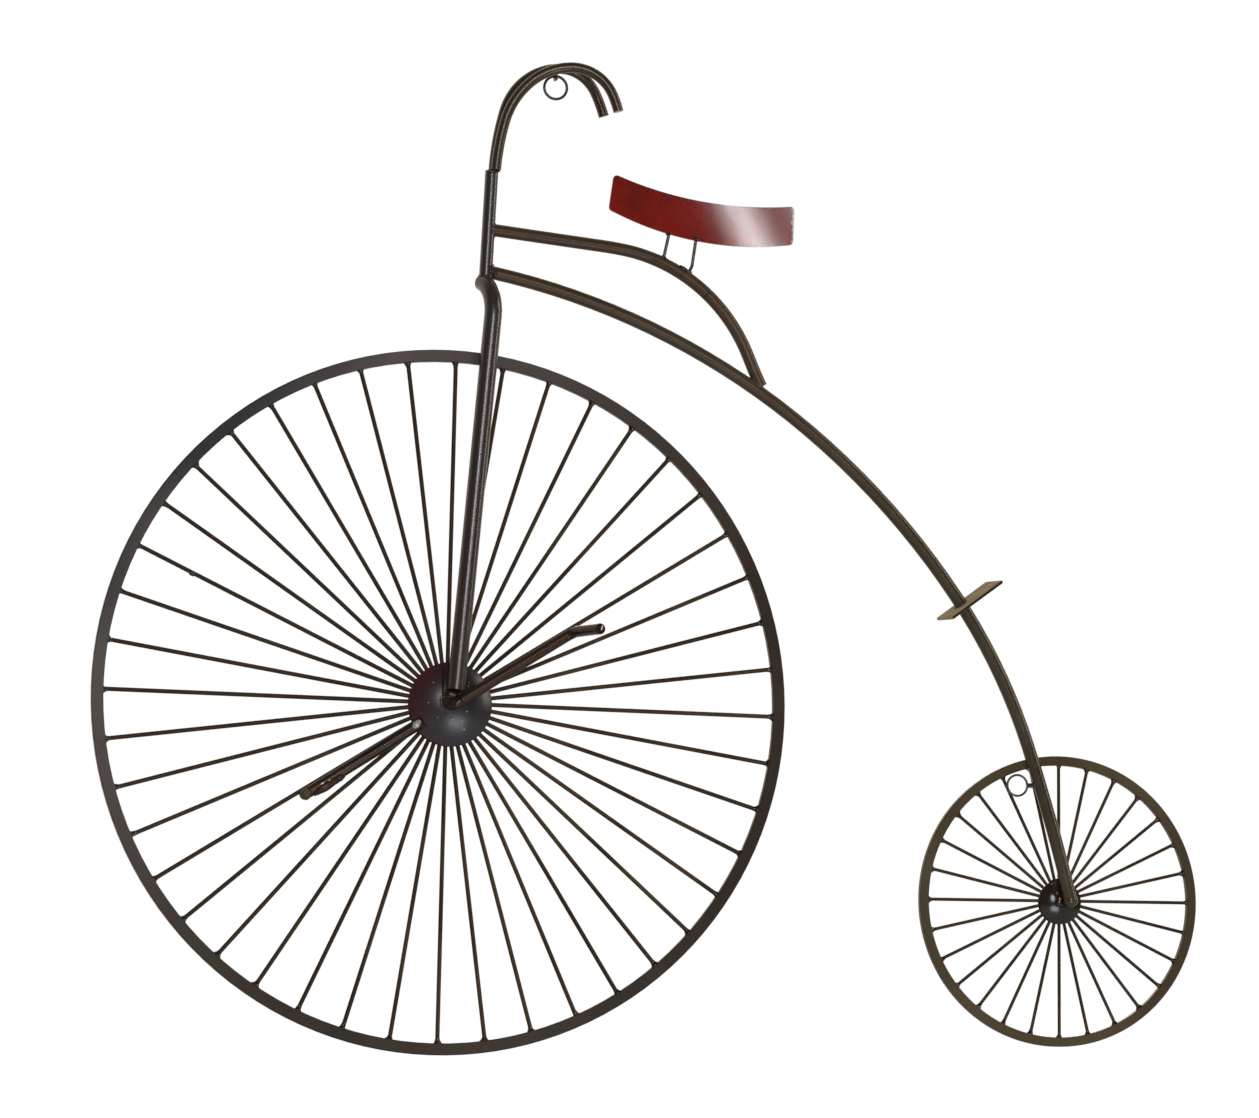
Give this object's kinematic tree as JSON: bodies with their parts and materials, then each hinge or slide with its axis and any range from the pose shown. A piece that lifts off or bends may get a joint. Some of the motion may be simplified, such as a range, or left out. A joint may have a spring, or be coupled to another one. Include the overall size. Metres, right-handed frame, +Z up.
{
  "type": "high-wheel bicycle wall sculpture",
  "caption": "Flat welded-steel wall sculpture of a high-wheel bicycle: large and small wire wheels, curved backbone, hooked handlebar, red saddle plate and a swinging hanging ring.",
  "frame": {"origin": "seat of the hanging ring in its loop under the wall-side handlebar hook", "axes": "+X across the wall from the front wheel to the rear wheel, +Y into the wall, +Z up"},
  "size_m": [0.9501, 0.1034, 0.8367],
  "materials": {
    "bronze_paint": "satin dark bronze",
    "cap_paint": "gloss blue-black",
    "red_enamel": "gloss red",
    "tan_paint": "satin tan bronze"
  },
  "bodies": {
    "frame": {"front_rim": "bronze_paint", "front_spokes": "bronze_paint", "front_hub_drum": "bronze_paint", "front_hub_cap": "cap_paint", "front_hub_back": "cap_paint", "rear_rim": "bronze_paint", "rear_spokes": "bronze_paint", "rear_hub_drum": "bronze_paint", "rear_hub_cap": "cap_paint", "rear_hub_back": "cap_paint", "head_tube": "bronze_paint", "front_fork": "bronze_paint", "backbone": "bronze_paint", "top_tube": "bronze_paint", "handlebar_near": "bronze_paint", "handlebar_far": "bronze_paint", "crank_near": "bronze_paint", "crank_far": "bronze_paint", "saddle_plate": "red_enamel", "saddle_strut_front": "bronze_paint", "saddle_strut_rear": "bronze_paint", "step_plate": "tan_paint", "hanger_loop": "bronze_paint", "hanger_ring_rear": "bronze_paint"},
    "hanging_ring": {"hanger_ring": "bronze_paint"}
  },
  "joints": [
    {"name": "ring_swing", "type": "hinge", "parent": "frame", "child": "hanging_ring", "pos_m": [0, 0, 0], "axis": [1, 0, 0], "range_deg": [-60, 60]}
  ]
}
